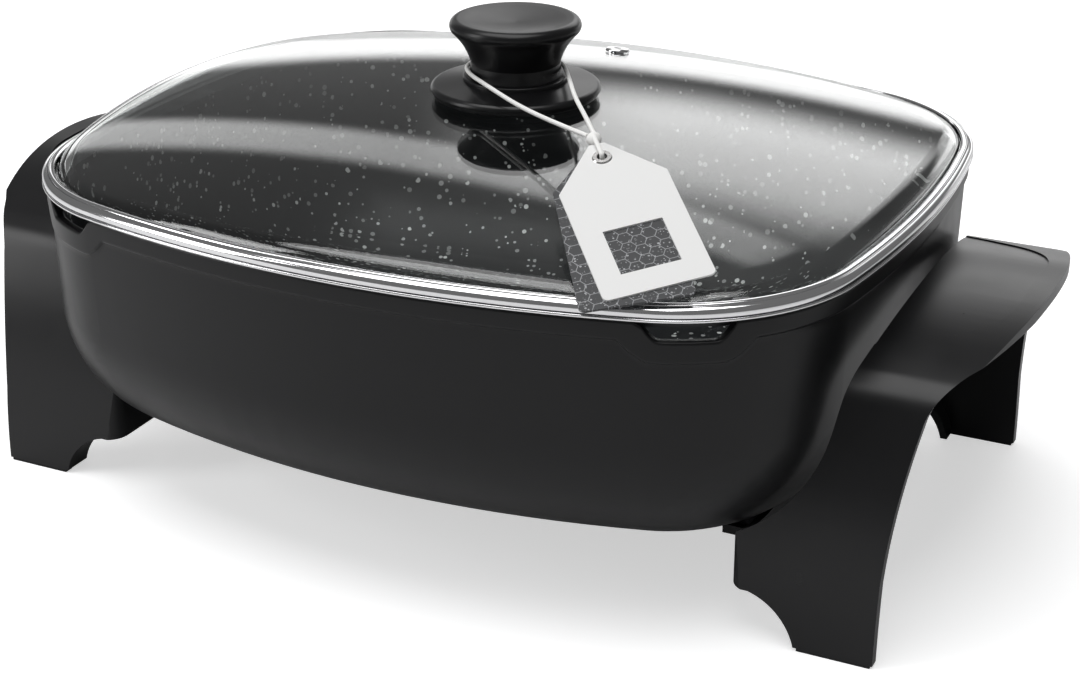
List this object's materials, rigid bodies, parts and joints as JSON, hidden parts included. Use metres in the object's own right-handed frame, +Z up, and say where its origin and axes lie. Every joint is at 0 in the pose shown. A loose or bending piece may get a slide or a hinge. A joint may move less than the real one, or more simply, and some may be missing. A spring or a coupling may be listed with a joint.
{
  "type": "electric skillet",
  "caption": "Deep oblong electric skillet on two moulded end brackets, with a lift-off glass lid, a centre knob and pour spouts.",
  "frame": {"origin": "centre of the footprint on the table the skillet stands on", "axes": "+X along the long axis towards the right-hand handle, -Y towards the front, +Z up"},
  "size_m": [0.512, 0.3498, 0.2202],
  "materials": {
    "nonstick": "cast aluminium with a black non-stick coating",
    "element_steel": "oxidised steel sheath",
    "terminal_steel": "nickel plated",
    "guard_steel": "plain sheet steel",
    "bracket_plastic": "satin black phenolic moulding",
    "pad_rubber": "matte",
    "screw_steel": "zinc plated",
    "glass": "clear tempered glass",
    "rim_steel": "polished stainless steel",
    "vent_steel": "polished stainless steel",
    "knob_plastic": "satin black phenolic moulding",
    "silicone": "matte silicone",
    "card_white": "coated white card, blank",
    "card_dark": "dark speckled card with pale mesh lines",
    "eyelet_steel": "plated metal",
    "string_cotton": "twisted white cotton"
  },
  "bodies": {
    "base": {"pan": "nonstick", "heating_element": "element_steel", "terminal_pins": "terminal_steel", "inlet_guard": "guard_steel", "right_bracket": "bracket_plastic", "left_bracket": "bracket_plastic", "foot_pad_front_left": "pad_rubber", "foot_pad_back_left": "pad_rubber", "foot_pad_front_right": "pad_rubber", "foot_pad_back_right": "pad_rubber", "bracket_screws_left": "screw_steel", "bracket_screws_right": "screw_steel"},
    "lid": {"lid_glass": "glass", "lid_rim": "rim_steel", "steam_vent": "vent_steel", "knob_base": "knob_plastic", "knob_collar": "knob_plastic", "knob_grip": "knob_plastic", "knob_gasket": "silicone", "screw_gasket": "silicone", "knob_washer": "screw_steel", "knob_screw": "screw_steel", "tag_card": "card_white", "tag_backing": "card_dark", "tag_eyelet": "eyelet_steel", "tag_knot": "string_cotton", "tag_string": "string_cotton"}
  },
  "joints": [
    {"name": "lid_lift", "type": "slide", "parent": "base", "child": "lid", "axis": [0, 0, 1], "range_m": [0, 0.12]}
  ]
}
